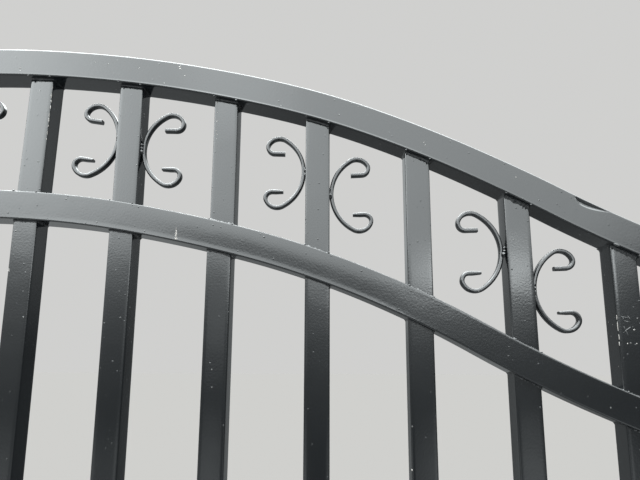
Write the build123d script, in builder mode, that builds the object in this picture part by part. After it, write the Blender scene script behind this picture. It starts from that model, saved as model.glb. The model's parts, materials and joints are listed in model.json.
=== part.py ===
"""Double-leaf driveway gate of square steel tube between two posts.

Frame: +X along the gate to the right as seen from the front, +Y to the back,
+Z up, millimetres. The origin is on the underside of the left post's base plate.
The right-hand leaf is drawn, and the left-hand one is its mirror image.
"""
import math
import os

from build123d import *

# Leaf: tubes and spacing
PICKETS = 11                # pickets between the two stiles
PICKET = 30.0               # square picket tube
FRAME = 40.0                # square tube of stiles and rails
CLEAR_GAP = 91.5            # clear width between neighbouring pickets
PICKET_CORNER = 3.0         # outside corner radius of the picket tube
FRAME_CORNER = 4.0          # outside corner radius of the frame tube

# Leaf: the swan-neck rails, given for the top edge of the upper rail
APEX_HEIGHT = 1900.0        # top edge at the meeting stile
APEX_FLAT = 35.0            # level run between the meeting stile and the curve
CROWN_RADIUS = 1500.0       # downward curve
REVERSE_RADIUS = 1300.0     # upward curve that follows it
SHOULDER_FLAT = 30.0        # level run between the curve and the hinge stile
RAIL_SPACING = 190.0        # from upper rail to arch rail, square to the curve
GROUND_CLEARANCE = 80.0     # under the bottom rail

# C-scrolls of flat bar
SCROLL_HEIGHT = 98.0
SCROLL_WIDTH = 53.0
SCROLL_SHOULDER = 18.0      # outside radius between the back and a hook
SCROLL_HOOK = 11.0          # outside radius of the hooks
HOOK_START = 27.0           # degrees from level, where shoulder turns into hook
SCROLL_TIP = 14.0           # straight end of each hook
SCROLL_RISE = 4.0           # above the middle between the rails
SCROLL_BAR = 5.0            # thickness of the bar
SCROLL_DEPTH = 12.0         # width of the bar, front to back
SCROLL_EVERY = 2            # a back-to-back pair on every second picket

# Opening and posts
MEETING_GAP = 12.0
HINGE_GAP = 40.0            # between stile and post
POST = 100.0
POST_CORNER = 8.0
POST_HEIGHT = 1640.0        # top of the tube
CAP_OVERHANG = 4.0
CAP_RIM = 10.0
CAP_RISE = 28.0
PLATE = 200.0
PLATE_THICKNESS = 12.0
ANCHOR_SPACING = 150.0
ANCHOR_HOLE = 14.0

# Hinges: a pintle on the post carries an eye on the stile
PIN = 16.0
PIN_CLEARANCE = 0.05        # on the radius
KNUCKLE_RADIUS = 14.0
EYE_LENGTH = 40.0
SEAT_LENGTH = 30.0
PIN_RISE = 8.0              # pin above the eye
EYE_SEAT_GAP = 0.3
LUG_THICKNESS = 12.0
LUG_INSET = 2.0             # lug's front face behind the knuckle's
LOWER_HINGE = 330.0         # underside of the lower eye
UPPER_HINGE = 1330.0        # underside of the upper eye

# Drop bolt behind the left leaf's meeting stile
BOLT = 16.0
BOLT_LENGTH = 420.0
BOLT_FOOT = 25.0            # bolt's end above the ground
BOLT_GRIP = 60.0
GUIDE = 26.0
GUIDE_LENGTH = 30.0
GUIDE_BASE = 6.0
BOLT_CLEARANCE = 0.5        # on the radius

# Places along the gate
pitch = PICKET + CLEAR_GAP
leaf_width = 2 * FRAME + PICKETS * PICKET + (PICKETS + 1) * CLEAR_GAP
opening = 2 * (leaf_width + HINGE_GAP) + MEETING_GAP
post_distance = opening + POST
mid_x = post_distance / 2
meeting_x = mid_x + MEETING_GAP / 2             # meeting stile's free face
hinge_x = meeting_x + leaf_width                # hinge stile's outer face
bay_start = meeting_x + FRAME                   # inner face of the meeting stile
bay_end = hinge_x - FRAME                       # inner face of the hinge stile
first_picket = bay_start + CLEAR_GAP + PICKET / 2
picket_x = [first_picket + i * pitch for i in range(PICKETS)]
picket_y = (FRAME - PICKET) / 2                 # pickets are flush at the back
axis_x = hinge_x + HINGE_GAP / 2
axis_y = FRAME / 2                              # hinge axis in the leaf's back plane

# Heights
crown_x = bay_start + APEX_FLAT
crown_z = APEX_HEIGHT - CROWN_RADIUS
reverse_x = bay_end - SHOULDER_FLAT
slope = math.asin((reverse_x - crown_x) / (CROWN_RADIUS + REVERSE_RADIUS))  # steepest
reverse_z = crown_z + (CROWN_RADIUS + REVERSE_RADIUS) * math.cos(slope)
bottom_rail_z = GROUND_CLEARANCE + FRAME / 2
shoulder_z = reverse_z - REVERSE_RADIUS         # top edge at the hinge stile


def edge_height(x, depth):
    """Height of the line that lies `depth` below the top edge, square to it."""
    crown, reverse = CROWN_RADIUS - depth, REVERSE_RADIUS + depth
    if x <= crown_x:
        return crown_z + crown
    if x <= crown_x + crown * math.sin(slope):
        return crown_z + math.sqrt(crown**2 - (x - crown_x) ** 2)
    if x <= reverse_x:
        return reverse_z - math.sqrt(reverse**2 - (reverse_x - x) ** 2)
    return reverse_z - reverse


def swan_neck(start_x, end_x, depth):
    """Lines of the swan neck at `depth` below the top edge, inside a BuildLine."""
    crown, reverse = CROWN_RADIUS - depth, REVERSE_RADIUS + depth
    Line((start_x, crown_z + crown), (crown_x, crown_z + crown))
    turn = math.degrees(slope)
    CenterArc((crown_x, crown_z), crown, 90, -turn)
    CenterArc((reverse_x, reverse_z), reverse, 270 - turn, turn)
    Line((reverse_x, reverse_z - reverse), (end_x, reverse_z - reverse))


def band(start_x, end_x, upper, lower):
    """Face between the swan necks at depths `upper` and `lower`."""
    with BuildSketch() as face:
        with BuildLine():
            swan_neck(start_x, end_x, upper)
            swan_neck(start_x, end_x, lower)
            for x in (start_x, end_x):
                Line((x, edge_height(x, upper)), (x, edge_height(x, lower)))
        make_face()
    return face.sketch


front_plane = Plane.XZ.offset(FRAME / 2)        # leaf's front face, normal to -Y


def curved_rail(start_x, end_x, depth):
    with BuildPart() as rail:
        with BuildSketch(front_plane):
            add(band(start_x, end_x, depth, depth + FRAME))
        extrude(amount=-FRAME)
        ends = rail.faces().filter_by(Axis.X).edges()
        fillet(rail.edges().filter_by(Axis.Y, reverse=True) - ends, FRAME_CORNER)
    return rail.part


def straight_tube(start, end, side, corner):
    """Square tube with closed ends from one centre point to the other."""
    with BuildPart() as tube:
        with BuildSketch(Plane(start, z_dir=end - start)):
            RectangleRounded(side, side, corner)
        extrude(amount=(end - start).length)
    return tube.part


def picket_row(zone):
    """Row of pickets, each cut to the face `zone`."""
    with BuildPart() as row:
        with BuildSketch(Plane.XZ.offset(PICKET / 2 - picket_y)):
            add(zone)
            with BuildSketch(mode=Mode.INTERSECT):
                with Locations(*[(x, APEX_HEIGHT / 2) for x in picket_x]):
                    Rectangle(PICKET, 2 * APEX_HEIGHT)
        extrude(amount=-PICKET)
        fillet(row.edges().filter_by(Axis.Z), PICKET_CORNER)
    return row.part


def below_arch():
    """Face between the arch rail and the bottom rail."""
    top = RAIL_SPACING + FRAME
    foot = bottom_rail_z + FRAME / 2
    with BuildSketch() as face:
        with BuildLine():
            swan_neck(bay_start, bay_end, top)
            Line((bay_start, edge_height(bay_start, top)), (bay_start, foot))
            Line((bay_start, foot), (bay_end, foot))
            Line((bay_end, foot), (bay_end, edge_height(bay_end, top)))
        make_face()
    return face.sketch


def c_scroll():
    """Outline of a scroll that opens to +X, its back at the sketch's origin."""
    start = math.radians(HOOK_START)
    step = SCROLL_SHOULDER - SCROLL_HOOK
    rise = SCROLL_HEIGHT / 2 - SCROLL_SHOULDER
    reach = SCROLL_WIDTH - SCROLL_HOOK - SCROLL_SHOULDER - step * math.cos(start)
    spread = (rise**2 + reach**2) / (2 * reach)     # from the back's centre to a shoulder's
    turn = math.degrees(math.atan2(rise, reach - spread))
    back = SCROLL_SHOULDER + spread
    shoulder_x = SCROLL_SHOULDER + reach
    hook_x, hook_y = SCROLL_WIDTH - SCROLL_HOOK, rise + step * math.sin(start)
    half = SCROLL_BAR / 2
    with BuildSketch() as outline:
        with BuildLine():
            CenterArc((back, 0), back - half, turn, 360 - 2 * turn)
            for side in (1, -1):
                CenterArc((shoulder_x, side * rise), SCROLL_SHOULDER - half,
                          side * turn, -side * (turn - HOOK_START))
                CenterArc((hook_x, side * hook_y), SCROLL_HOOK - half,
                          side * HOOK_START, -side * (HOOK_START + 90))
                inner = side * (hook_y - SCROLL_HOOK + half)
                Line((hook_x, inner), (hook_x - SCROLL_TIP, inner))
        trace(line_width=SCROLL_BAR)
    return outline.sketch


def scroll_row():
    """One scroll in each bay, carried by every second upright on both its sides."""
    to_right = c_scroll()
    to_left = mirror(to_right, about=Plane.YZ, mode=Mode.PRIVATE)
    with BuildPart() as row:
        with BuildSketch(Plane.XZ.offset(SCROLL_DEPTH / 2 - picket_y)):
            for bay in range(PICKETS + 1):
                on_left_upright = bay % SCROLL_EVERY == 0
                side = bay_start + bay * pitch + (0 if on_left_upright else CLEAR_GAP)
                centre = side + (SCROLL_WIDTH / 2 if on_left_upright else -SCROLL_WIDTH / 2)
                height = (edge_height(centre, FRAME) + edge_height(centre, RAIL_SPACING)) / 2
                with Locations((side, height + SCROLL_RISE)):
                    add(to_right if on_left_upright else to_left)
        extrude(amount=-SCROLL_DEPTH)
    return row.part


def mirrored(part):
    """The same piece on the left leaf or left post."""
    with BuildPart() as twin:
        add(part)
        mirror(about=Plane.YZ.offset(mid_x), mode=Mode.REPLACE)
    return twin.part


lug_y = axis_y - KNUCKLE_RADIUS + LUG_THICKNESS / 2 + LUG_INSET
hinge_heights = (LOWER_HINGE, UPPER_HINGE)
post_face = post_distance - POST / 2

# Right leaf
with BuildPart() as right_top_rail:
    add(curved_rail(meeting_x, hinge_x, 0))

with BuildPart() as right_arch_rail:
    add(curved_rail(bay_start, bay_end, RAIL_SPACING))

with BuildPart() as right_bottom_rail:
    add(straight_tube(Vector(bay_start, 0, bottom_rail_z), Vector(bay_end, 0, bottom_rail_z),
                      FRAME, FRAME_CORNER))

with BuildPart() as right_meeting_stile:
    x = meeting_x + FRAME / 2
    add(straight_tube(Vector(x, 0, GROUND_CLEARANCE), Vector(x, 0, edge_height(x, FRAME)),
                      FRAME, FRAME_CORNER))

with BuildPart() as right_hinge_stile:
    x = hinge_x - FRAME / 2
    add(straight_tube(Vector(x, 0, GROUND_CLEARANCE), Vector(x, 0, edge_height(x, FRAME)),
                      FRAME, FRAME_CORNER))

with BuildPart() as right_upper_pickets:
    add(picket_row(band(bay_start, bay_end, FRAME, RAIL_SPACING)))

with BuildPart() as right_lower_pickets:
    add(picket_row(below_arch()))

with BuildPart() as right_scrolls:
    add(scroll_row())

with BuildPart() as right_hinge_eyes:
    for height in hinge_heights:
        with BuildSketch(Plane.XY.offset(height)):
            with Locations((axis_x, axis_y)):
                Circle(KNUCKLE_RADIUS)
            with Locations(((hinge_x + axis_x) / 2, lug_y)):
                Rectangle(axis_x - hinge_x, LUG_THICKNESS)
            with Locations((axis_x, axis_y)):
                Circle(PIN / 2 + PIN_CLEARANCE, mode=Mode.SUBTRACT)
        extrude(amount=EYE_LENGTH)

# Right post
with BuildPart() as right_base_plate:
    with BuildSketch():
        with Locations((post_distance, 0)):
            RectangleRounded(PLATE, PLATE, POST_CORNER)
            with GridLocations(ANCHOR_SPACING, ANCHOR_SPACING, 2, 2):
                Circle(ANCHOR_HOLE / 2, mode=Mode.SUBTRACT)
    extrude(amount=PLATE_THICKNESS)

with BuildPart() as right_post:
    with BuildSketch(Plane.XY.offset(PLATE_THICKNESS)):
        with Locations((post_distance, 0)):
            RectangleRounded(POST, POST, POST_CORNER)
    extrude(amount=POST_HEIGHT - PLATE_THICKNESS)

with BuildPart() as right_post_cap:
    cap_side = POST + 2 * CAP_OVERHANG
    with BuildSketch(Plane.XY.offset(POST_HEIGHT)):
        with Locations((post_distance, 0)):
            RectangleRounded(cap_side, cap_side, POST_CORNER + CAP_OVERHANG)
    extrude(amount=CAP_RIM)
    with BuildSketch(Plane.XY.offset(POST_HEIGHT + CAP_RIM)):
        with Locations((post_distance, 0)):
            Rectangle(cap_side - 2 * POST_CORNER, cap_side - 2 * POST_CORNER)
    with BuildSketch(Plane.XY.offset(POST_HEIGHT + CAP_RIM + CAP_RISE)):
        with Locations((post_distance, 0)):
            Rectangle(POST_CORNER, POST_CORNER)
    loft()

with BuildPart() as right_pintles:
    for height in hinge_heights:
        seat_top = height - EYE_SEAT_GAP
        with BuildSketch(Plane.XY.offset(seat_top)):
            with Locations((axis_x, axis_y)):
                Circle(KNUCKLE_RADIUS)
            with Locations(((post_face + axis_x) / 2, lug_y)):
                Rectangle(post_face - axis_x, LUG_THICKNESS)
        extrude(amount=-SEAT_LENGTH)
        with BuildSketch(Plane.XY.offset(seat_top)):
            with Locations((axis_x, axis_y)):
                Circle(PIN / 2)
        extrude(amount=EYE_SEAT_GAP + EYE_LENGTH + PIN_RISE)

# Left leaf and left post, the mirror images
with BuildPart() as left_top_rail:
    add(mirrored(right_top_rail.part))
with BuildPart() as left_arch_rail:
    add(mirrored(right_arch_rail.part))
with BuildPart() as left_bottom_rail:
    add(mirrored(right_bottom_rail.part))
with BuildPart() as left_meeting_stile:
    add(mirrored(right_meeting_stile.part))
with BuildPart() as left_hinge_stile:
    add(mirrored(right_hinge_stile.part))
with BuildPart() as left_upper_pickets:
    add(mirrored(right_upper_pickets.part))
with BuildPart() as left_lower_pickets:
    add(mirrored(right_lower_pickets.part))
with BuildPart() as left_scrolls:
    add(mirrored(right_scrolls.part))
with BuildPart() as left_hinge_eyes:
    add(mirrored(right_hinge_eyes.part))
with BuildPart() as left_base_plate:
    add(mirrored(right_base_plate.part))
with BuildPart() as left_post:
    add(mirrored(right_post.part))
with BuildPart() as left_post_cap:
    add(mirrored(right_post_cap.part))
with BuildPart() as left_pintles:
    add(mirrored(right_pintles.part))

# Drop bolt on the back of the left leaf's meeting stile
bolt_x = mid_x - MEETING_GAP / 2 - FRAME / 2
bolt_y = FRAME / 2 + GUIDE_BASE + BOLT / 2
guide_heights = (GROUND_CLEARANCE + GUIDE_LENGTH, GROUND_CLEARANCE + BOLT_LENGTH / 2)

with BuildPart() as drop_bolt_guides:
    for height in guide_heights:
        with BuildSketch(Plane.XY.offset(height)):
            with Locations((bolt_x, FRAME / 2 + (bolt_y - FRAME / 2) / 2)):
                Rectangle(GUIDE, bolt_y - FRAME / 2)
            with Locations((bolt_x, bolt_y)):
                Circle(GUIDE / 2)
                Circle(BOLT / 2 + BOLT_CLEARANCE, mode=Mode.SUBTRACT)
        extrude(amount=GUIDE_LENGTH)

with BuildPart() as drop_bolt:
    with BuildSketch(Plane.XY.offset(BOLT_FOOT)):
        with Locations((bolt_x, bolt_y)):
            Circle(BOLT / 2)
    extrude(amount=BOLT_LENGTH)
    with BuildSketch(Plane.XZ.offset(-bolt_y)):
        with Locations((bolt_x, BOLT_FOOT + BOLT_LENGTH - BOLT / 2)):
            Circle(BOLT / 2)
    extrude(amount=-BOLT_GRIP)

os.makedirs("parts", exist_ok=True)

right_top_rail.part.label = "right_top_rail"
export_step(right_top_rail.part, "parts/right_top_rail.step")
right_arch_rail.part.label = "right_arch_rail"
export_step(right_arch_rail.part, "parts/right_arch_rail.step")
right_bottom_rail.part.label = "right_bottom_rail"
export_step(right_bottom_rail.part, "parts/right_bottom_rail.step")
right_meeting_stile.part.label = "right_meeting_stile"
export_step(right_meeting_stile.part, "parts/right_meeting_stile.step")
right_hinge_stile.part.label = "right_hinge_stile"
export_step(right_hinge_stile.part, "parts/right_hinge_stile.step")
right_upper_pickets.part.label = "right_upper_pickets"
export_step(right_upper_pickets.part, "parts/right_upper_pickets.step")
right_lower_pickets.part.label = "right_lower_pickets"
export_step(right_lower_pickets.part, "parts/right_lower_pickets.step")
right_scrolls.part.label = "right_scrolls"
export_step(right_scrolls.part, "parts/right_scrolls.step")
right_hinge_eyes.part.label = "right_hinge_eyes"
export_step(right_hinge_eyes.part, "parts/right_hinge_eyes.step")
right_base_plate.part.label = "right_base_plate"
export_step(right_base_plate.part, "parts/right_base_plate.step")
right_post.part.label = "right_post"
export_step(right_post.part, "parts/right_post.step")
right_post_cap.part.label = "right_post_cap"
export_step(right_post_cap.part, "parts/right_post_cap.step")
right_pintles.part.label = "right_pintles"
export_step(right_pintles.part, "parts/right_pintles.step")
left_top_rail.part.label = "left_top_rail"
export_step(left_top_rail.part, "parts/left_top_rail.step")
left_arch_rail.part.label = "left_arch_rail"
export_step(left_arch_rail.part, "parts/left_arch_rail.step")
left_bottom_rail.part.label = "left_bottom_rail"
export_step(left_bottom_rail.part, "parts/left_bottom_rail.step")
left_meeting_stile.part.label = "left_meeting_stile"
export_step(left_meeting_stile.part, "parts/left_meeting_stile.step")
left_hinge_stile.part.label = "left_hinge_stile"
export_step(left_hinge_stile.part, "parts/left_hinge_stile.step")
left_upper_pickets.part.label = "left_upper_pickets"
export_step(left_upper_pickets.part, "parts/left_upper_pickets.step")
left_lower_pickets.part.label = "left_lower_pickets"
export_step(left_lower_pickets.part, "parts/left_lower_pickets.step")
left_scrolls.part.label = "left_scrolls"
export_step(left_scrolls.part, "parts/left_scrolls.step")
left_hinge_eyes.part.label = "left_hinge_eyes"
export_step(left_hinge_eyes.part, "parts/left_hinge_eyes.step")
left_base_plate.part.label = "left_base_plate"
export_step(left_base_plate.part, "parts/left_base_plate.step")
left_post.part.label = "left_post"
export_step(left_post.part, "parts/left_post.step")
left_post_cap.part.label = "left_post_cap"
export_step(left_post_cap.part, "parts/left_post_cap.step")
left_pintles.part.label = "left_pintles"
export_step(left_pintles.part, "parts/left_pintles.step")
drop_bolt_guides.part.label = "drop_bolt_guides"
export_step(drop_bolt_guides.part, "parts/drop_bolt_guides.step")
drop_bolt.part.label = "drop_bolt"
export_step(drop_bolt.part, "parts/drop_bolt.step")
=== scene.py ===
"""Dresses the driveway gate: bent tube rails, pickets, scrolls, welds, hinges, posts and its paint."""

import json
import math
import random

import bmesh
import bpy
from bpy.props import FloatProperty, FloatVectorProperty, IntProperty, PointerProperty
from mathutils import Matrix, Vector, noise


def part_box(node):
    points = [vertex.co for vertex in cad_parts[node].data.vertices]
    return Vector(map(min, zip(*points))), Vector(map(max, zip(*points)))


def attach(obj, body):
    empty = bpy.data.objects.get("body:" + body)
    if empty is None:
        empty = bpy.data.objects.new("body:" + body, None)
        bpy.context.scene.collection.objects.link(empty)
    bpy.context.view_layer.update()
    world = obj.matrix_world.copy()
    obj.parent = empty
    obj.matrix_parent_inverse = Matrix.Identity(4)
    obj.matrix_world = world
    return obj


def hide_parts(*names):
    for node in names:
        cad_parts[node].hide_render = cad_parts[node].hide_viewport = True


bl_info = {
    "name": "Driveway Gate",
    "version": (1, 0, 0),
    "blender": (4, 5, 0),
    "location": "View3D > Sidebar > Gate",
    "description": "Builds a double-leaf swan-neck driveway gate of painted steel tube",
    "category": "Object",
}

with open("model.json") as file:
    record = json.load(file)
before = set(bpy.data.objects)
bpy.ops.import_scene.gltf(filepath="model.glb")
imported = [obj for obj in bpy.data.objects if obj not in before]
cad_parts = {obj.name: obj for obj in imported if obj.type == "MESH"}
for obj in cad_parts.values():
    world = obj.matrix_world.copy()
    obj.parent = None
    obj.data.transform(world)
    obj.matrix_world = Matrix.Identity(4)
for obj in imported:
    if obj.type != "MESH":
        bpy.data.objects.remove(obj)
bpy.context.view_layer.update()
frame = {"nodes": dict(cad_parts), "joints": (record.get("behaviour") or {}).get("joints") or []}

MM = 0.001
QUARTER = math.pi / 2
SIDES = ("right", "left")


# What the frame says

def corners(node):
    """The node's lowest and highest corners."""
    lo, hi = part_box(node)
    return Vector(lo), Vector(hi)


TOP_LO, TOP_HI = corners("right_top_rail")
ARCH_LO, ARCH_HI = corners("right_arch_rail")
BOTTOM_LO, BOTTOM_HI = corners("right_bottom_rail")
PICKETS_LO, PICKETS_HI = corners("right_lower_pickets")
SCROLL_FRONT = corners("right_scrolls")[0].y
MID_X = (corners("left_top_rail")[0].x + TOP_HI.x) / 2
MEETING_X = TOP_LO.x
HINGE_X = TOP_HI.x
BAY_START = ARCH_LO.x
BAY_END = ARCH_HI.x
APEX_Z = TOP_HI.z
FRONT_Y = TOP_LO.y
FRAME_TUBE = TOP_HI.y - TOP_LO.y
PICKET_TUBE = PICKETS_HI.y - PICKETS_LO.y
PICKET_Y = (PICKETS_HI.y + PICKETS_LO.y) / 2


# Sizes and colours to change

def length(name, default, description):
    return FloatProperty(name=name, description=description, default=default, unit="LENGTH")


def angle(name, degrees, description):
    return FloatProperty(
        name=name, description=description, default=math.radians(degrees), subtype="ANGLE")


def tint(name, default, description):
    return FloatVectorProperty(
        name=name, description=description, default=default, subtype="COLOR", min=0, max=1)


class GateShape(bpy.types.PropertyGroup):
    """Sizes of the leaves that the frame's boxes don't give"""

    pickets: IntProperty(name="Pickets", description="Pickets in each leaf", default=11, min=2)
    apex_flat: length("Level at the crown", 0.035, "Level run before the crown curve")
    crown_radius: length("Crown radius", 1.500, "Downward curve, to the top edge")
    reverse_radius: length("Reverse radius", 1.300, "Upward curve, to the top edge")
    shoulder_flat: length("Level at the shoulder", 0.030, "Level run before the hinge stile")
    rail_spacing: length("Rail spacing", 0.190, "From the top rail to the arch rail")
    frame_corner: length("Frame corner", 0.0016, "Outside corner radius of the frame tube")
    picket_corner: length("Picket corner", 0.0015, "Outside corner radius of the picket tube")
    crown: length("Crown of the faces", 0.00008, "How far the tubes' faces bulge")
    bow: length("Bow of the arch rail", 0.0003, "How far bending has bowed its front face")
    lip: length("Lip of the rails", 0.0004, "How proud bending has left their lower front corner")
    top_inset: length("Rails' top", 0.0016, "How far the curved rails' top lies inside the full tube")
    foot_inset: length("Rails' underside", 0.0030, "How far their underside lies inside that tube")
    scroll_height: length("Scroll height", 0.098, "Height of a C-scroll")
    scroll_width: length("Scroll width", 0.053, "Width of a C-scroll")
    scroll_shoulder: length("Scroll shoulder", 0.018, "Outside radius between the back and a hook")
    scroll_hook: length("Scroll hook", 0.011, "Outside radius of a scroll's hooks")
    hook_start: angle("Hook start", 27, "Angle above level where shoulder turns into hook")
    scroll_tip: length("Scroll tip", 0.014, "Straight end of each hook")
    scroll_rise: length("Scroll rise", 0.004, "Height above the middle between the rails")
    scroll_bar: length("Scroll bar", 0.0049, "Thickness of the scroll's flat bar")
    scroll_depth: length("Scroll depth", 0.009, "Width of the scroll's flat bar")
    scroll_edge: length("Scroll edge", 0.0018, "Radius of the bar's round edges")
    bead: length("Weld bead", 0.0021, "Leg of the fillet welds")


class GateWear(bpy.types.PropertyGroup):
    """Where the right-hand leaf is dented"""

    dent_start: length("Dent from", 2.4290, "Where the dent starts, along the gate")
    dent_length: length("Dent length", 0.048, "Length of the dent")
    dent_height: length("Dent height", 0.0090, "From the top edge down to the dent's lip")
    dent_depth: length("Dent depth", 0.0012, "Depth of the dent")


class GatePaint(bpy.types.PropertyGroup):
    """Colours and gloss of the finishes"""

    colour: tint("Paint", (0.0108, 0.0134, 0.0158), "Colour of the enamel")
    roughness: FloatProperty(
        name="Roughness", description="Roughness of the enamel", default=0.10, subtype="FACTOR")
    # Pale specks in the enamel: dust, and a painted glint on its nibs
    dust_and_glint: tint("Dust", (0.40, 0.41, 0.40), "Specks of dust in the enamel")
    # Pale primer: the colour of chips, and of the pale dashes along picket edges that are a painted
    # highlight
    chip_and_highlight: tint("Chip", (0.62, 0.62, 0.60), "Primer that shows where the enamel is chipped")
    zinc: tint("Zinc", (0.48, 0.47, 0.44), "Plated bolts and nuts")
    plug: tint("Plug", (0.012, 0.012, 0.012), "Plastic end plugs")


class GateView(bpy.types.PropertyGroup):
    """Where the picture is taken from"""

    place: FloatVectorProperty(
        name="Camera", description="Camera's place", subtype="TRANSLATION",
        default=(2.1402, -0.6909, 1.5132), unit="LENGTH")
    yaw: angle("Yaw", -1.455, "Turn to the right")
    pitch: angle("Pitch", 11.067, "Tilt upwards")
    roll: angle("Roll", 0.251, "Roll of the camera")
    lens: FloatProperty(
        name="Lens", description="Focal length on a 36 mm sensor", default=32.08, unit="CAMERA")


# The swan neck

# Where bending by hand has left the rails high or low: place along the gate, spread, metres up
TOP_WAVES = ((1.83, 0.08, -0.0005), (2.125, 0.105, 0.0021), (2.35, 0.07, -0.0009))
ARCH_WAVES = ((1.67, 0.06, 0.0009), (1.955, 0.11, -0.0020))
# Twists in the right-hand rails: place along the gate, spread, degrees backwards
TOP_TWISTS = ((2.445, 0.025, 0.8), (2.58, 0.07, -1.5))
ARCH_TWISTS = ((2.06, 0.12, -0.5), (2.18, 0.05, -0.4))
# Where the rails' lower corners stand proud: place along the gate, spread, share of the full lip
TOP_LIPS = ((1.84, 0.12, 0.45), (2.02, 0.12, 0.75), (2.22, 0.12, 0.70), (2.40, 0.10, 0.45))
ARCH_LIPS = ((1.88, 0.09, 0.75), (2.04, 0.10, 0.38), (2.18, 0.05, 0.30))
# How wide that lip is, and how sharply it falls off
TOP_LIP_FORM = (0.0017, 1.1)
ARCH_LIP_FORM = (0.0050, 2.0)
# Where the arch rail's bow fades in, and where it fades out, along the gate
BOW_START = (1.78, 2.06)
BOW_END = (2.10, 2.26)
BOW_PEAK = 27 / 4           # brings the highest value of s (1 - s)^2 to one
LIP_CROWDING = 1.6          # how much closer the front's rows lie near the lip


def clamp(value, lowest=-1, highest=1):
    return max(lowest, min(highest, value))


def smooth(share):
    """An even ease from 0 to 1."""
    share = clamp(share, 0.0, 1.0)
    return share * share * (3 - 2 * share)


def ease_over(value, span):
    """The same ease, from the span's start to its end."""
    return smooth((value - span[0]) / (span[1] - span[0]))


def waves(x, rows):
    """Height at `x` of smooth bumps, each given by its place, spread and height."""
    return sum(size * math.exp(-((x - place) / spread) ** 2) for place, spread, size in rows)


class SwanNeck:
    """The leaf's curve, in the right-hand leaf."""

    def __init__(self, shape):
        self.crown_radius = shape.crown_radius
        self.reverse_radius = shape.reverse_radius
        self.crown_x = BAY_START + shape.apex_flat
        self.reverse_x = BAY_END - shape.shoulder_flat
        radii = self.crown_radius + self.reverse_radius
        self.slope = math.asin((self.reverse_x - self.crown_x) / radii)
        self.crown_z = APEX_Z - self.crown_radius
        self.reverse_z = self.crown_z + radii * math.cos(self.slope)
        self.rail_top = shape.top_inset
        self.rail_foot = FRAME_TUBE - shape.foot_inset
        self.rail_middle = (self.rail_top + self.rail_foot) / 2
        self.slimmer = self.rail_foot - self.rail_top - FRAME_TUBE
        self.arch_top = shape.rail_spacing + self.rail_top
        self.arch_foot = shape.rail_spacing + self.rail_foot

    def height(self, x, depth):
        """Height of a rail's line `depth` below the top edge, as bent by hand."""
        rows = TOP_WAVES if depth < FRAME_TUBE * 2 else ARCH_WAVES
        return self.true_height(x, depth) + waves(x, rows)

    def true_height(self, x, depth):
        """Height of the line `depth` below the top edge, square to it."""
        crown, reverse = self.crown_radius - depth, self.reverse_radius + depth
        if x <= self.crown_x:
            return self.crown_z + crown
        if x <= self.crown_x + crown * math.sin(self.slope):
            return self.crown_z + math.sqrt(crown**2 - (x - self.crown_x) ** 2)
        if x <= self.reverse_x:
            return self.reverse_z - math.sqrt(reverse**2 - (self.reverse_x - x) ** 2)
        return self.reverse_z - reverse

    def fall(self, x, depth, line=None):
        """Steepness of that line, or of `line`: height lost for each metre along X."""
        line = line or self.height
        return (line(x - MM, depth) - line(x + MM, depth)) / (2 * MM)

    def cut(self, x, depth):
        """(height, fall) of a picket's end on that line, or on the bottom rail if `depth` is None."""
        if depth is None:
            return BOTTOM_HI.z, 0
        return self.height(x, depth), self.fall(x, depth)


# Shared mesh steps

def lying(x, z, way=1, y=0):
    """A place whose own upward axis points along X, or against it with `way` -1."""
    return Matrix.Translation((x, y, z)) @ Matrix.Rotation(way * QUARTER, 4, "Y")


def square_face(bm, side, corner, arc_steps, stretch=(1, 1, 1)):
    """A square face in the XY plane, stretched and then given round corners."""
    verts = bmesh.ops.create_circle(bm, cap_ends=True, segments=4, radius=side / math.sqrt(2))["verts"]
    bmesh.ops.rotate(bm, verts=verts, cent=(0, 0, 0), matrix=Matrix.Rotation(math.pi / 4, 3, "Z"))
    bmesh.ops.scale(bm, verts=verts, vec=stretch)
    bmesh.ops.bevel(bm, geom=verts, offset=corner, affect="VERTICES", segments=arc_steps,
                    profile=0.5, material=-1)


def tube_ring(bm, side, corner, crown=0.0, arc_steps=6, side_steps=12, front_steps=None):
    """A closed loop of edges round a square tube's outline, in the XY plane.

    The middle of each face stands proud of its corners by `crown`.
    """
    square_face(bm, side, corner, arc_steps)
    flats = [e for e in bm.edges if e.calc_length() > side / 2]
    front = [e for e in flats if all(v.co.y < -side / 4 for v in e.verts)]
    others = [e for e in flats if e not in front]
    bmesh.ops.subdivide_edges(bm, edges=front, cuts=(front_steps or side_steps) - 1)
    bmesh.ops.subdivide_edges(bm, edges=others, cuts=side_steps - 1)
    bmesh.ops.delete(bm, geom=list(bm.faces), context="FACES_ONLY")
    half, flat = side / 2, side / 2 - corner
    for v in bm.verts:
        for across, along in ((0, 1), (1, 0)):
            if abs(v.co[across]) > flat:
                share = min(1, abs(v.co[along]) / flat)
                v.co[across] *= 1 - crown / half * share**2
    return list(bm.edges)


def verts_of(edges):
    return list({v for e in edges for v in e.verts})


def extrude_ring(bm, edges):
    """Extrudes the loop where it is, and returns the new loop's edges and vertices."""
    made = bmesh.ops.extrude_edge_only(bm, edges=edges)["geom"]
    fresh = {g for g in made if isinstance(g, bmesh.types.BMVert)}
    return [g for g in made if isinstance(g, bmesh.types.BMEdge) and set(g.verts) <= fresh], fresh


def push_ring(bm, edges, shift, steps=1):
    """Extrudes the loop along `shift`, and returns the loop at the far end."""
    for _ in range(steps):
        edges, fresh = extrude_ring(bm, edges)
        bmesh.ops.translate(bm, verts=list(fresh), vec=Vector(shift) / steps)
    return edges


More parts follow.
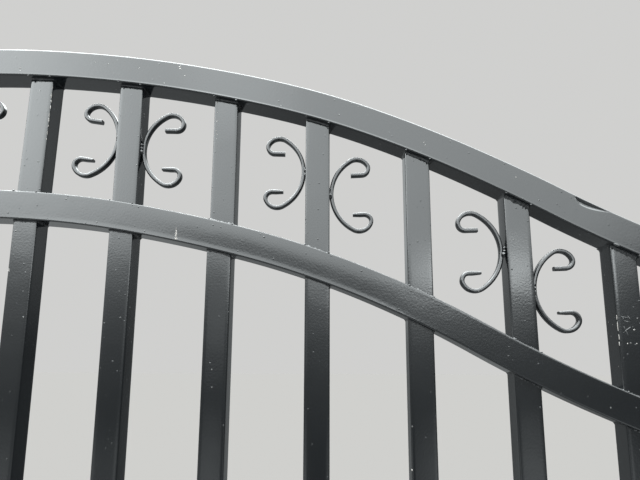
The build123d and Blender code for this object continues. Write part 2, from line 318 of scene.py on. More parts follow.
def raise_rows(bm, ring, side, base, rows):
    """Extrudes the loop to rows of (height over `base`, share of its width), and caps the last.

    A share above a half is of the row before. A smaller one is of `side`, and squares the corners.
    """
    for up, share in rows:
        ring, fresh = extrude_ring(bm, ring)
        for v in fresh:
            edge = max(abs(v.co.x), abs(v.co.y))
            v.co.xy *= share * side / 2 / edge if share < 0.5 else share
            v.co.z = base + up
    cap_ring(bm, ring)


def turn_ring(bm, edges, centre, axis, turn, steps):
    """Spins the loop round an axis, and returns the loop at the far end."""
    made = bmesh.ops.spin(bm, geom=edges + verts_of(edges), cent=centre, axis=axis,
                          angle=turn, steps=steps, use_duplicate=False)
    return [g for g in made["geom_last"] if isinstance(g, bmesh.types.BMEdge)]


def cap_ring(bm, edges):
    return bmesh.ops.contextual_create(bm, geom=edges)["faces"]


def widen(bm, stretch, flat):
    """Makes a tube's outline longer by `stretch` along its own X, between its corners."""
    for v in bm.verts:
        v.co.x += stretch / 2 * clamp(v.co.x / flat)


def lathe(bm, outline, x, y):
    """Turns a short outline of (radius, height) points round a standing axis."""
    one = bmesh.new()
    points = [one.verts.new((r, 0, z)) for r, z in outline]
    edges = [one.edges.new(pair) for pair in zip(points, points[1:] + points[:1])]
    bmesh.ops.spin(one, geom=points + edges, cent=(0, 0, 0), axis=(0, 0, 1),
                   angle=2 * math.pi, steps=48, use_merge=True)
    bmesh.ops.remove_doubles(one, verts=one.verts, dist=1e-6)
    bmesh.ops.dissolve_degenerate(one, dist=1e-7, edges=one.edges)
    bmesh.ops.recalc_face_normals(one, faces=one.faces)
    join_into(bm, one, Matrix.Translation((x, y, 0)))


def round_edges(bm, radius):
    bmesh.ops.bevel(bm, geom=list(bm.edges), offset=radius, affect="EDGES", segments=2,
                    profile=0.5, material=-1)


def block(bm, lo, hi, edge=0.0008):
    """A box from corner to corner, with small round edges."""
    one = bmesh.new()
    bmesh.ops.create_cube(one, size=1)
    bmesh.ops.scale(one, vec=Vector(hi) - Vector(lo), verts=one.verts)
    bmesh.ops.translate(one, vec=(Vector(hi) + Vector(lo)) / 2, verts=one.verts)
    round_edges(one, edge)
    join_into(bm, one)


# A fillet weld's section, from the tube's face to the plate: (outwards, up), in legs
FILLET = ((-0.05, 1.15), (0.13, 0.78), (0.32, 0.46), (0.62, 0.20), (1.0, -0.05))
# Unevenness of a weld: its height, in legs for the lumps and in metres for the grain, and how close
# it lies
LUMPS, SMALL_LUMPS, GRAIN = (0.6, 110), (0.45, 380), (0.0004, 1100)
# How close a blob's lumps and its grain lie
BLOB_LUMPS, BLOB_GRAIN = 1.6, 3.7
# How far each weld and each blob moves through the noise with its place, so that no two are alike
WELD_SPREAD, BLOB_SPREAD = 37.0, 91.0


def uneven(spot, kind):
    size, closeness = kind
    return size * noise.noise(spot * closeness)


def weld_round(bm, side, corner, leg, matrix, front_leg=None, stretch=0.0):
    """A fillet weld round a square tube that stands on the plane Z = 0 of `matrix`.

    `front_leg` is its leg on the tube's front; `stretch` makes the tube longer along its own X.
    """
    one = bmesh.new()
    ring = tube_ring(one, side, corner, arc_steps=5, side_steps=16, front_steps=30)
    fresh = set(one.verts)
    flat = side / 2 - corner
    seed = matrix.translation * WELD_SPREAD
    for step, (out, up) in enumerate(FILLET):
        if step:
            ring, fresh = extrude_ring(one, ring)
        for v in fresh:
            core = Vector((clamp(v.co.x, -flat, flat), clamp(v.co.y, -flat, flat)))
            away = (v.co.xy - core).normalized()
            foot = core + away * corner
            spot = Vector((*foot, 0)) + seed
            size = leg + ((front_leg or leg) - leg) * max(0, -away.y) ** 2
            lump = 1 + uneven(spot, LUMPS) + uneven(spot, SMALL_LUMPS)
            grain = uneven(spot + Vector((0, 0, 2 * MM * step)), GRAIN)
            v.co.xy = foot + away * (size * out * lump + grain)
            v.co.z = size * up * (lump if up > 0 else 1) + grain
    widen(one, stretch, flat)
    join_into(bm, one, matrix)


def blob(bm, place, radii, lump=0.3, turn=0.0, grain=0.0):
    """An uneven rounded lump, half sunk in what carries it, turned in the gate's plane."""
    one = bmesh.new()
    bmesh.ops.create_icosphere(one, subdivisions=3, radius=1)
    seed = Vector(place) * BLOB_SPREAD
    for v in one.verts:
        v.co *= (1 + lump * noise.noise(v.co * BLOB_LUMPS + seed)
                 + grain * noise.noise(v.co * BLOB_GRAIN + seed))
    join_into(bm, one, Matrix.Translation(place) @ Matrix.Rotation(turn, 4, "Y")
              @ Matrix.Diagonal((*radii, 1)))


def join_into(target, source, matrix=None):
    """Adds one bmesh to another, and frees it."""
    if matrix is not None:
        bmesh.ops.transform(source, matrix=matrix, verts=source.verts)
    scrap = bpy.data.meshes.new("scrap")
    source.to_mesh(scrap)
    source.free()
    target.from_mesh(scrap)
    bpy.data.meshes.remove(scrap)


def mirrored(bm):
    """A copy of the piece for the left-hand side."""
    twin = bm.copy()
    bmesh.ops.scale(twin, vec=(-1, 1, 1), verts=twin.verts)
    bmesh.ops.translate(twin, vec=(2 * MID_X, 0, 0), verts=twin.verts)
    bmesh.ops.reverse_faces(twin, faces=twin.faces)
    return twin


CRISP, LUMPY = 40, 80       # degrees from which an edge looks sharp, on tube and on welds


def finish_piece(bm, name, body, nodes=(), material=None, slot="gate_paint", sharp=CRISP):
    """Makes the bmesh a piece that rides on `body`, in enamel unless a material is given."""
    bmesh.ops.recalc_face_normals(bm, faces=bm.faces)
    mesh = bpy.data.meshes.new(name)
    bm.to_mesh(mesh)
    bm.free()
    mesh.materials.append(material or enamel())
    mesh.shade_smooth()
    mesh.set_sharp_from_angle(angle=math.radians(sharp))
    piece = bpy.data.objects.new(name, mesh)
    bpy.context.scene.collection.objects.link(piece)
    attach(piece, body)
    if nodes:
        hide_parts(*nodes)
    return piece


def finish_pair(bm, name, nodes=(), post=False, twin=None, **looks):
    """Finishes a right-hand piece and `twin`, or else its mirror image."""
    for side, mesh in zip(SIDES, (bm, twin or mirrored(bm))):
        body = "posts" if post else f"{side}_leaf"
        finish_piece(mesh, f"{side}_{name}", body, [f"{side}_{node}" for node in nodes], **looks)


def paint_node(node):
    """Gives a CAD node the enamel."""
    materials = frame["nodes"][node].data.materials
    materials.clear()
    materials.append(enamel())


# Finishes

class Wiring:
    """Adds nodes to the tree of a material or a world, and links them."""

    def __init__(self, tree):
        self.nodes = tree.nodes
        self.links = tree.links

    def put(self, socket, value):
        """Links the socket to `value` if that is a socket too, and otherwise sets it."""
        if isinstance(value, bpy.types.NodeSocket):
            self.links.new(value, socket)
        else:
            socket.default_value = value

    def add(self, kind, **settings):
        """A new node. Each setting goes to the input of that name, or else to the node itself."""
        node = self.nodes.new("ShaderNode" + kind)
        for key, value in settings.items():
            if key in node.inputs:
                self.put(node.inputs[key], value)
            else:
                setattr(node, key, value)
        return node

    def remap(self, value, span, start=0.0, end=1.0, ease="LINEAR"):
        """Goes from `start` to `end` while `value` goes through the span."""
        node = self.add("MapRange", interpolation_type=ease, Value=value, **{
            "From Min": span[0], "From Max": span[1], "To Min": start, "To Max": end})
        return node.outputs["Result"]

    def combine(self, operation, a, b):
        """The result of a Math node."""
        node = self.add("Math", operation=operation)
        self.put(node.inputs[0], a)
        self.put(node.inputs[1], b)
        return node.outputs["Value"]

    def bump(self, height, distance, strength, **under):
        """The surface with relief from `height`, on top of `Normal` where that is given."""
        node = self.add("Bump", Height=height, Distance=distance, Strength=strength, **under)
        return node.outputs["Normal"]


def new_material(name):
    """(material, its wiring, its shader, its Object coordinates)."""
    material = bpy.data.materials.new(name)
    material.use_nodes = True
    wiring = Wiring(material.node_tree)
    place = wiring.add("TexCoord").outputs["Object"]
    return material, wiring, wiring.nodes["Principled BSDF"], place


# Nibs in the enamel, by distance from their middle: where the relief and the pale specks fall off. The
# specks are dust, and also a painted glint on the nibs
NIB_RIM, DUST_GLINT_RIM = (0.04, 0.11), (0.035, 0.06)
# Values of the nibs' own chance over which a pale speck, dust and a painted glint, turns up, in one nib
# of three
DUST_GLINT_CHANCE = (0.64, 0.70)


def enamel():
    """Dark glossy enamel with orange peel, a slow ripple and pale specks at nibs, partly dust and
    partly a painted glint.
    """
    if "gate_enamel" in bpy.data.materials:
        return bpy.data.materials["gate_enamel"]
    paint = bpy.context.scene.gate_paint
    material, wiring, shader, place = new_material("gate_enamel")
    peel = wiring.add("TexNoise", Vector=place, Scale=400.0, Detail=2.5)
    ripple = wiring.add("TexNoise", Vector=place, Scale=28.0, Detail=1.0)
    nibs = wiring.add("TexVoronoi", Vector=place, Scale=95.0)
    off_nib = nibs.outputs["Distance"]

    normal = wiring.bump(ripple.outputs["Fac"], distance=0.0006, strength=0.25)
    normal = wiring.bump(peel.outputs["Fac"], distance=0.00016, strength=0.32, Normal=normal)
    nib = wiring.remap(off_nib, NIB_RIM, 1.0, 0.0)
    normal = wiring.bump(nib, distance=0.0003, strength=0.5, Normal=normal)
    wiring.put(shader.inputs["Normal"], normal)

    # Pale specks at some nibs: dust, and a painted glint standing in for their highlights
    chance = wiring.add("SeparateColor", Color=nibs.outputs["Color"]).outputs["Red"]
    dust_and_glint_speck = wiring.combine("MULTIPLY", wiring.remap(chance, DUST_GLINT_CHANCE),
                           wiring.remap(off_nib, DUST_GLINT_RIM, 1.0, 0.0))
    colour = wiring.add("Mix", data_type="RGBA", Factor=dust_and_glint_speck, A=(*paint.colour, 1), B=(*paint.dust_and_glint, 1))
    wiring.put(shader.inputs["Base Color"], colour.outputs["Result"])
    shader.inputs["Roughness"].default_value = paint.roughness
    shader.inputs["IOR"].default_value = 1.5
    return material


def plain_finish(name, colour, roughness, metallic=0.0):
    """A finish of one colour with a fine grain."""
    if name in bpy.data.materials:
        return bpy.data.materials[name]
    material, wiring, shader, place = new_material(name)
    grain = wiring.add("TexNoise", Vector=place, Scale=420.0, Detail=3.0).outputs["Fac"]
    gloss = wiring.remap(grain, (0.0, 1.0), roughness - 0.08, roughness + 0.12)
    wiring.put(shader.inputs["Roughness"], gloss)
    wiring.put(shader.inputs["Normal"], wiring.bump(grain, distance=0.0001, strength=0.3))
    shader.inputs["Base Color"].default_value = (*colour, 1)
    shader.inputs["Metallic"].default_value = metallic
    return material


def zinc_plate():
    return plain_finish("zinc_plate", bpy.context.scene.gate_paint.zinc, roughness=0.38, metallic=1.0)


# Leaves

class GATE_OT_curved_rails(bpy.types.Operator):
    """Top rails and arch rails, bent from square tube"""

    bl_idname = "gate.curved_rails"
    bl_label = "Curved rails"

    BEHIND_FRONT = 0.0012       # how far behind the front the blow has reached
    FINER, FINER_CUTS = 1.4, 7  # share of the dent's height that gets a finer mesh, and its cuts
    SKEW = 0.46                 # draws the hollow's lowest point towards the dent's left end
    HOLLOW = (0.72, 0.7)        # share of the height by which the hollow is full, and its curve
    LIP = (0.70, 1.06)          # shares of the height between which it rises to the lip
    FULL_BY = 0.10              # share of the length by which it is full
    FADE = (0.35, 1)            # shares of the length between which it fades out

    def execute(self, context):
        shape = context.scene.gate_shape
        neck = SwanNeck(shape)
        for name, start, end, depth, bow, twists in (
                ("top_rail", MEETING_X, HINGE_X, 0.0, 0.0, TOP_TWISTS),
                ("arch_rail", BAY_START, BAY_END, shape.rail_spacing, shape.bow, ARCH_TWISTS)):
            bm = self.bend(neck, shape, start, end, depth, bow)
            twin = mirrored(bm)
            self.twist(bm, neck, depth, twists)
            if not depth:
                self.dent(bm, neck, context.scene.gate_wear)
            finish_pair(bm, name + "_tube", [name], twin=twin)
        return {"FINISHED"}

    def dent(self, bm, neck, wear):
        """A blow has pressed the front in below the top edge, and left a lip under the hollow."""
        end = wear.dent_start + wear.dent_length

        def depth_of(v):
            fall = neck.fall(v.co.x, 0)
            return (neck.height(v.co.x, 0) - v.co.z) / math.sqrt(1 + fall**2) - neck.rail_top

        def in_zone(v):
            return (wear.dent_start < v.co.x < end and v.co.y < FRONT_Y + self.BEHIND_FRONT
                    and depth_of(v) < self.FINER * wear.dent_height)

        zone = [f for f in bm.faces if all(in_zone(v) for v in f.verts)]
        edges = list({e for f in zone for e in f.edges})
        bmesh.ops.subdivide_edges(bm, edges=edges, cuts=self.FINER_CUTS, use_grid_fill=True)
        for v in bm.verts:
            along = (v.co.x - wear.dent_start) / wear.dent_length
            if not in_zone(v) or not 0 < along < 1:
                continue
            lip = wear.dent_height * math.sin(math.pi * along**self.SKEW)
            share = depth_of(v) / max(lip, MM)
            sunk = smooth(share / self.HOLLOW[0]) ** self.HOLLOW[1] * (1 - ease_over(share, self.LIP))
            v.co.y += (wear.dent_depth * sunk * smooth(along / self.FULL_BY)
                       * (1 - ease_over(along, self.FADE)))

    def twist(self, bm, neck, depth, rows):
        """Bending has turned the rail a little about its own length."""
        for v in bm.verts:
            lean = math.radians(waves(v.co.x, rows))
            v.co.y += (v.co.z - neck.height(v.co.x, depth + FRAME_TUBE / 2)) * math.tan(lean)

    def bend(self, neck, shape, start, end, depth, bow):
        bm = bmesh.new()
        ring = tube_ring(bm, FRAME_TUBE, shape.frame_corner, front_steps=40)
        middle = neck.true_height(start, depth + FRAME_TUBE / 2)
        bmesh.ops.transform(bm, matrix=lying(start, middle), verts=bm.verts)
        self.flatten(bm, middle, shape)
        cap_ring(bm, ring)
        ring = push_ring(bm, ring, (neck.crown_x - start, 0, 0), steps=4)
        for x, z, slope, steps in ((neck.crown_x, neck.crown_z, neck.slope, 160),
                                   (neck.reverse_x, neck.reverse_z, -neck.slope, 200)):
            ring = turn_ring(bm, ring, (x, 0, z), (0, 1, 0), slope, steps)
        cap_ring(bm, push_ring(bm, ring, (end - neck.reverse_x, 0, 0), steps=3))
        self.press_front(bm, neck, shape, depth, bow)
        for v in bm.verts:
            v.co.z += neck.height(v.co.x, depth) - neck.true_height(v.co.x, depth)
        return bm

    def flatten(self, bm, middle, shape):
        """Brings the tube's top and underside in, with rows of the front close above the lip."""
        flat = FRAME_TUBE / 2 - shape.frame_corner
        for v in bm.verts:
            up = v.co.z - middle
            if v.co.y < -FRAME_TUBE / 4 and abs(up) < flat:
                share = (1 + up / flat) / 2
                up = (2 * share**LIP_CROWDING - 1) * flat
            inset = shape.top_inset if up > 0 else shape.foot_inset
            v.co.z = middle + up - inset * clamp(up / flat)

    def press_front(self, bm, neck, shape, depth, bow):
        """Bows the front face, most near its upper edge, and leaves a lip at its lower corner."""
        flat = neck.rail_foot - neck.rail_top - 2 * shape.frame_corner
        lips, (wide, power) = (ARCH_LIPS, ARCH_LIP_FORM) if depth else (TOP_LIPS, TOP_LIP_FORM)
        for v in bm.verts:
            forward = (FRONT_Y + shape.frame_corner - v.co.y) / shape.frame_corner
            if forward <= 0:
                continue
            slant = math.sqrt(1 + neck.fall(v.co.x, depth, neck.true_height) ** 2)
            down = (neck.true_height(v.co.x, depth) - v.co.z) / slant
            down = down - shape.frame_corner - neck.rail_top
            share = clamp(down / flat, 0)
            rise = min(0, down - flat)
            fade = ease_over(v.co.x, BOW_START) - ease_over(v.co.x, BOW_END)
            proud = bow * fade * BOW_PEAK * share * (1 - share) ** 2
            proud += shape.lip * min(1, waves(v.co.x, lips)) * max(0, 1 + rise / wide) ** power
            v.co.y += forward * (bow + shape.lip - proud)


def upright(bm, x, y, side, corner, bottom, top, crown=0.0, lean=0.0):
    """One standing tube; `bottom` and `top` are (height, fall) of the cuts.

    `x` is its place at the bottom, and `lean` how far it leans along X by the top.
    """
    one = bmesh.new()
    ring = tube_ring(one, side, corner, crown, arc_steps=5, side_steps=8)
    spare = side
    bmesh.ops.translate(one, verts=one.verts, vec=(x, y, bottom[0] - spare))
    push_ring(one, ring, (0, 0, top[0] - bottom[0] + 2 * spare), steps=6)
    for v in one.verts:
        v.co.x += lean * (v.co.z - bottom[0]) / (top[0] - bottom[0])
    for (z, fall), at, up in ((bottom, x, -1), (top, x + lean, 1)):
        cut = bmesh.ops.bisect_plane(
            one, geom=list(one.verts) + list(one.edges) + list(one.faces), dist=1e-6,
            plane_co=(at, y, z), plane_no=Vector((fall, 0, 1)) * up, clear_outer=True)
        cap_ring(one, [g for g in cut["geom_cut"] if isinstance(g, bmesh.types.BMEdge)])
    join_into(bm, one)


# How far each picket stands off its regular place at its foot and top, in millimetres,
# from the meeting stile on
UPPER_DRIFTS = (
    (0.6, 3.3), (0.5, 0.1), (2.6, 2.6), (-1.6, -1.7), (0.9, 0.9), (-0.2, -1.1), (0.9, 0.4),
    (-0.6, -0.2), (0.9, 0.5), (-1.2, -0.8), (0.4, 0.6),
)
LOWER_DRIFTS = (
    (-1.0, 0.1), (-0.9, -0.4), (-1.8, 0.3), (-1.2, -1.2), (-0.1, -0.1), (-0.8, -0.8), (-0.1, -0.1),
    (0.5, 0.8), (-0.7, -0.2), (0.3, 0.0), (-0.4, -0.6),
)


def picket_places(shape, drifts):
    """(place at the foot, place at the top) of each picket."""
    first = PICKETS_LO.x + PICKET_TUBE / 2
    last = PICKETS_HI.x - PICKET_TUBE / 2
    step = (last - first) / (shape.pickets - 1)
    return [tuple(first + i * step + MM * drift for drift in drifts[i % len(drifts)])
            for i in range(shape.pickets)]


class GATE_OT_pickets(bpy.types.Operator):
    """Upper and lower pickets, cut to the rails"""

    bl_idname = "gate.pickets"
    bl_label = "Pickets"

    def execute(self, context):
        shape = context.scene.gate_shape
        neck = SwanNeck(shape)
        for name, drifts, top_depth, base_depth in (
                ("upper_pickets", UPPER_DRIFTS, neck.rail_foot, neck.arch_top),
                ("lower_pickets", LOWER_DRIFTS, neck.arch_foot, None)):
            bm = bmesh.new()
            for x, top_x in picket_places(shape, drifts):
                upright(bm, x, PICKET_Y, PICKET_TUBE, shape.picket_corner, neck.cut(x, base_depth),
                        neck.cut(top_x, top_depth), shape.crown, top_x - x)
            finish_pair(bm, name + "_tubes", [name])
        return {"FINISHED"}


class GATE_OT_frame_tubes(bpy.types.Operator):
    """Stiles and bottom rails"""

    bl_idname = "gate.frame_tubes"
    bl_label = "Stiles and bottom rails"

    def execute(self, context):
        shape = context.scene.gate_shape
        for name in ("meeting_stile", "hinge_stile"):
            bm = bmesh.new()
            lo, hi = corners("right_" + name)
            upright(bm, (lo.x + hi.x) / 2, 0, FRAME_TUBE, shape.frame_corner, (lo.z, 0),
                    (hi.z + shape.foot_inset, 0), shape.crown)
            finish_pair(bm, name + "_tube", [name])
        bm = bmesh.new()
        ring = tube_ring(bm, FRAME_TUBE, shape.frame_corner, shape.crown)
        stand = lying(BOTTOM_LO.x, (BOTTOM_LO.z + BOTTOM_HI.z) / 2)
        bmesh.ops.transform(bm, matrix=stand, verts=bm.verts)
        cap_ring(bm, ring)
        cap_ring(bm, push_ring(bm, ring, (BOTTOM_HI.x - BOTTOM_LO.x, 0, 0), steps=8))
        finish_pair(bm, "bottom_rail_tube", ["bottom_rail"])
        return {"FINISHED"}


# How each scroll was set, from the meeting stile on: degrees of lean, millimetres up and out, and size
SCROLL_SETS = (
    (4.4, 2.2, 2.2, 1.00), (8.7, -5.2, 0.0, 1.03), (1.4, -0.4, -0.2, 1.02), (1.9, 2.7, 1.9, 0.98),
    (-2.5, 0.3, -1.7, 1.00), (-1.9, 2.8, 2.2, 1.04), (-1.9, -4.1, -0.3, 1.04), (1.2, -1.0, 0.3, 1.01),
    (-0.8, 1.2, 0.0, 0.99), (2.1, -0.6, 0.4, 1.00), (-1.5, 0.8, 0.0, 1.02), (0.7, -1.5, 0.2, 0.99),
)
TIP_TAPER = 0.68            # thickness of a lower hook's end, as a share of the bar's


class GATE_OT_scrolls(bpy.types.Operator):
    """C-scrolls of flat bar between the rails"""

    bl_idname = "gate.scrolls"
    bl_label = "C-scrolls"

    def execute(self, context):
        shape = context.scene.gate_shape
        scroll_y = SCROLL_FRONT + shape.scroll_depth / 2
        bm = bmesh.new()
        for side_x, height, facing, lean, size in scroll_places(shape):
            place = Matrix.Translation((side_x, scroll_y, height)) @ Matrix.Rotation(lean, 4, "Y")
            join_into(bm, self.bend(shape), place @ Matrix.Diagonal((facing * size, 1, size, 1)))
        finish_pair(bm, "scroll_bars", ["scrolls"])
        return {"FINISHED"}

    def bend(self, shape):
        """One scroll, opening to +X, with its back at the origin."""
        start, bar, tip = shape.hook_start, shape.scroll_bar, shape.scroll_tip
        back, turn, shoulder_x, rise = scroll_arcs(shape)
        hook_x = shape.scroll_width - shape.scroll_hook
        hook_z = rise + (shape.scroll_shoulder - shape.scroll_hook) * math.sin(start)
        inner = hook_z - shape.scroll_hook + bar / 2
        bm = bmesh.new()
        square_face(bm, 1, shape.scroll_edge, 6, (bar, shape.scroll_depth, 1))
        bmesh.ops.delete(bm, geom=list(bm.faces), context="FACES_ONLY")
        ring = list(bm.edges)
        bmesh.ops.transform(bm, matrix=lying(hook_x - tip, inner), verts=bm.verts)
        cap_ring(bm, ring)
        ring = push_ring(bm, ring, (tip, 0, 0), steps=3)
        for x, z, swing, steps in (
                (hook_x, hook_z, start + QUARTER, 20), (shoulder_x, rise, turn - start, 18),
                (back, 0, 2 * (math.pi - turn), 26),
                (shoulder_x, -rise, turn - start, 18), (hook_x, -hook_z, start + QUARTER, 20)):
            ring = turn_ring(bm, ring, (x, 0, z), (0, -1, 0), swing, steps)
        ring = push_ring(bm, ring, (-tip / 3, 0, 0))
        ring = push_ring(bm, ring, (-tip * 2 / 3, 0, 0))
        bmesh.ops.scale(bm, verts=verts_of(ring), vec=(1, 1, TIP_TAPER),
                        space=Matrix.Translation((0, 0, inner)))
        cap_ring(bm, ring)
        return bm


def scroll_arcs(shape):
    """(back radius, angle where it ends, shoulders' centre X and Z) of a scroll."""
    hook, shoulder = shape.scroll_hook, shape.scroll_shoulder
    rise = shape.scroll_height / 2 - shoulder
    reach = shape.scroll_width - hook - shoulder - (shoulder - hook) * math.cos(shape.hook_start)
    spread = (rise**2 + reach**2) / (2 * reach)
    return shoulder + spread, math.atan2(rise, reach - spread), shoulder + reach, rise


def scroll_places(shape):
    """(back's X, height, facing, lean, size) of each scroll in the right leaf."""
    neck = SwanNeck(shape)
    gap = PICKETS_LO.x - BAY_START
    for bay in range(shape.pickets + 1):
        facing = 1 if bay % 2 == 0 else -1
        side_x = BAY_START + bay * (gap + PICKET_TUBE) + (0 if facing == 1 else gap)
        centre = side_x + facing * shape.scroll_width / 2
        height = (neck.height(centre, FRAME_TUBE) + neck.height(centre, shape.rail_spacing)) / 2
        lean, up, out, size = SCROLL_SETS[bay % len(SCROLL_SETS)]
        yield (side_x + facing * MM * out, height + shape.scroll_rise + MM * up, facing,
               math.radians(lean), size)


# Leg of the welds in front of each picket and at its sides, as shares of the usual bead
TOP_BEADS = ((0.5, 0.4), (0.5, 0.4), (0.6, 0.4), (0.7, 0.4), (1.2, 0.5), (2.1, 0.6), (2.2, 1.5),
             (0.8, 0.6), (1.2, 0.5), (0.6, 0.7), (0.9, 0.5))
OTHER_BEADS = ((0.8, 0.6), (0.6, 0.8), (1.0, 0.6), (0.7, 0.5), (0.9, 0.8))
RAIL_WELD, STILE_WELD = 0.0016, 0.0012      # legs of the welds at the rails' ends and stiles' tops
# Height over the touch and radius of each tack of a scroll, from the top down
TACKS = ((0.0044, 0.0027), (0.0006, 0.0032), (-0.0034, 0.0027), (-0.0076, 0.0018), (-0.0124, 0.0013))
RUN_BELOW = -0.005          # the tacks below this height are the run of weld
RUN_OUT, RUN_SPREAD = 0.0009, 8.8           # how it moves onto the upright, away from the scroll
BEADED_PICKET = 6           # the picket with a large bead at its upper left
LARGE_BEAD = (0.0036, 0.0017, 0.0019)


class GATE_OT_welds(bpy.types.Operator):
    """Fillet welds at the ends of the pickets, rails and stiles, and the scrolls' tack welds"""

    bl_idname = "gate.welds"
    bl_label = "Welds"

    def execute(self, context):
        shape = context.scene.gate_shape
        neck = SwanNeck(shape)
        bm = bmesh.new()
        self.picket_welds(bm, neck, shape)
        self.frame_welds(bm, neck, shape)
        finish_pair(bm, "fillet_welds", sharp=LUMPY)
        bm = bmesh.new()
        self.scroll_tacks(bm, shape)
        self.corner_beads(bm, neck, shape)
        finish_pair(bm, "tack_welds", sharp=LUMPY)
        return {"FINISHED"}

    def picket_welds(self, bm, neck, shape):
        upper, lower = picket_places(shape, UPPER_DRIFTS), picket_places(shape, LOWER_DRIFTS)
        for places, depth, up, beads in (
                (upper, neck.rail_foot, -1, TOP_BEADS), (upper, neck.arch_top, 1, OTHER_BEADS),
                (lower, neck.arch_foot, -1, OTHER_BEADS), (lower, None, 1, OTHER_BEADS)):
            for i, (x, top_x) in enumerate(places):
                at = top_x if up < 0 else x
                z, fall = neck.cut(at, depth)
                shear = Matrix.Identity(4)
                shear[2][0] = -fall
                place = Matrix.Translation((at, PICKET_Y, z)) @ shear @ Matrix.Diagonal((1, 1, up, 1))
                front, sides = beads[i % len(beads)]
                weld_round(bm, PICKET_TUBE, shape.picket_corner, shape.bead * sides, place,
                           shape.bead * front)

    def frame_welds(self, bm, neck, shape):
        rail_z = (BOTTOM_LO.z + BOTTOM_HI.z) / 2
        for x, way in ((BAY_START, 1), (BAY_END, -1)):
            arch_z = neck.height(x, shape.rail_spacing + neck.rail_middle)
            for z, stretch in ((arch_z, neck.slimmer), (rail_z, 0)):
                weld_round(bm, FRAME_TUBE, shape.frame_corner, RAIL_WELD, lying(x, z, way),
                           stretch=stretch)
            stile_x = x - way * FRAME_TUBE / 2
            place = Matrix.Translation((stile_x, 0, neck.height(stile_x, neck.rail_foot)))
            place = place @ Matrix.Diagonal((1, 1, -1, 1))
            weld_round(bm, FRAME_TUBE, shape.frame_corner, STILE_WELD, place)

    def scroll_tacks(self, bm, shape):
        """Lumpy tacks where each scroll's back meets its upright, with a run of weld below."""
        rng = random.Random(7)
        back = scroll_arcs(shape)[0]
        for back_x, height, facing, lean, _ in scroll_places(shape):
            touch = height - facing * back * math.sin(lean)
            for up, size in TACKS:
                size *= rng.uniform(0.8, 1.25)
                out = RUN_OUT + RUN_SPREAD * up * up / back if up < RUN_BELOW else 0
                blob(bm, (back_x + facing * (rng.uniform(-0.0004, 0.0010) - out),
                          SCROLL_FRONT + rng.uniform(-0.0022, 0.0002),
                          touch + up + rng.uniform(-0.0012, 0.0012)),
                     (size * 0.8, size, size * rng.uniform(0.8, 1.3)), lump=0.45, grain=0.4)

    def corner_beads(self, bm, neck, shape):
        """Spatter on the rails' edges, by the corners of the pickets."""
        rng = random.Random(19)
        places = picket_places(shape, UPPER_DRIFTS)
        for x, top_x in places:
            for side in (-1, 1):
                for at, depth, up in ((x, neck.arch_top, 1), (top_x, neck.rail_foot, -1)):
                    corner = at + side * (PICKET_TUBE / 2 - 0.8 * MM)
                    size = rng.uniform(0.0007, 0.0013)
                    blob(bm, (corner, FRONT_Y + rng.uniform(0.0008, 0.0016),
                              neck.height(corner, depth) + up * size * 0.3),
                         (size * rng.uniform(1.0, 1.6), size, size))
        x = places[BEADED_PICKET][1] - PICKET_TUBE / 2 + 3 * MM
        z, fall = neck.cut(x, neck.rail_foot)
        blob(bm, (x, FRONT_Y + 0.4 * MM, z - 0.2 * MM), LARGE_BEAD, turn=math.atan(fall))


# Where the marks lie: the rails' front is pressed in a little behind the frame's
RAIL_FACE = FRONT_Y + 0.0005
PICKET_FACE = PICKET_Y - PICKET_TUBE / 2
# Marks on the right-hand leaf, chips and the pale dashes of a painted highlight: kind, face and
# thickness, then X and Z in metres, and width and height in millimetres, of each
MARKS = (
    ("chip_and_highlight", RAIL_FACE, 0.0004, (
        (1.9422, 1.8712, 2.4, 2.0), (1.9430, 1.8688, 1.6, 2.6), (1.9495, 1.8588, 2.4, 0.9),
        (1.8317, 1.8787, 1.0, 1.2), (1.8488, 1.8757, 1.5, 0.9), (1.8895, 1.8698, 1.2, 1.0),
        (1.7344, 1.8712, 3.4, 0.8), (1.7352, 1.8676, 2.0, 0.7), (2.2511, 1.7677, 1.2, 1.5),
        (2.2522, 1.7638, 1.1, 1.2), (2.3610, 1.7223, 1.3, 1.5), (1.9486, 1.6572, 0.8, 5.6),
        (1.9489, 1.6518, 1.9, 8.0), (1.9490, 1.6464, 3.2, 2.6))),
    ("run", RAIL_FACE, 0.0007, ((2.0557, 1.6482, 2.2, 2.6),)),
    # On the pickets, the column of marks at X 1.990 to 1.992 runs down a picket's left edge and is a
    # painted highlight
    ("chip_and_highlight", PICKET_FACE, 0.00025, (
        (1.7432, 1.6093, 1.4, 3.2), (2.2275, 1.3830, 1.6, 2.4), (1.9902, 1.8260, 0.8, 3.4),
        (1.9906, 1.8128, 1.0, 1.0), (1.9910, 1.8010, 1.7, 1.5), (1.9904, 1.7880, 1.1, 1.3),
        (1.9914, 1.7834, 1.7, 1.2), (1.9916, 1.7772, 1.0, 1.0), (2.4892, 1.5398, 1.6, 1.6),
        (2.4804, 1.5239, 1.3, 1.6), (2.4909, 1.5239, 1.4, 1.2))),
)
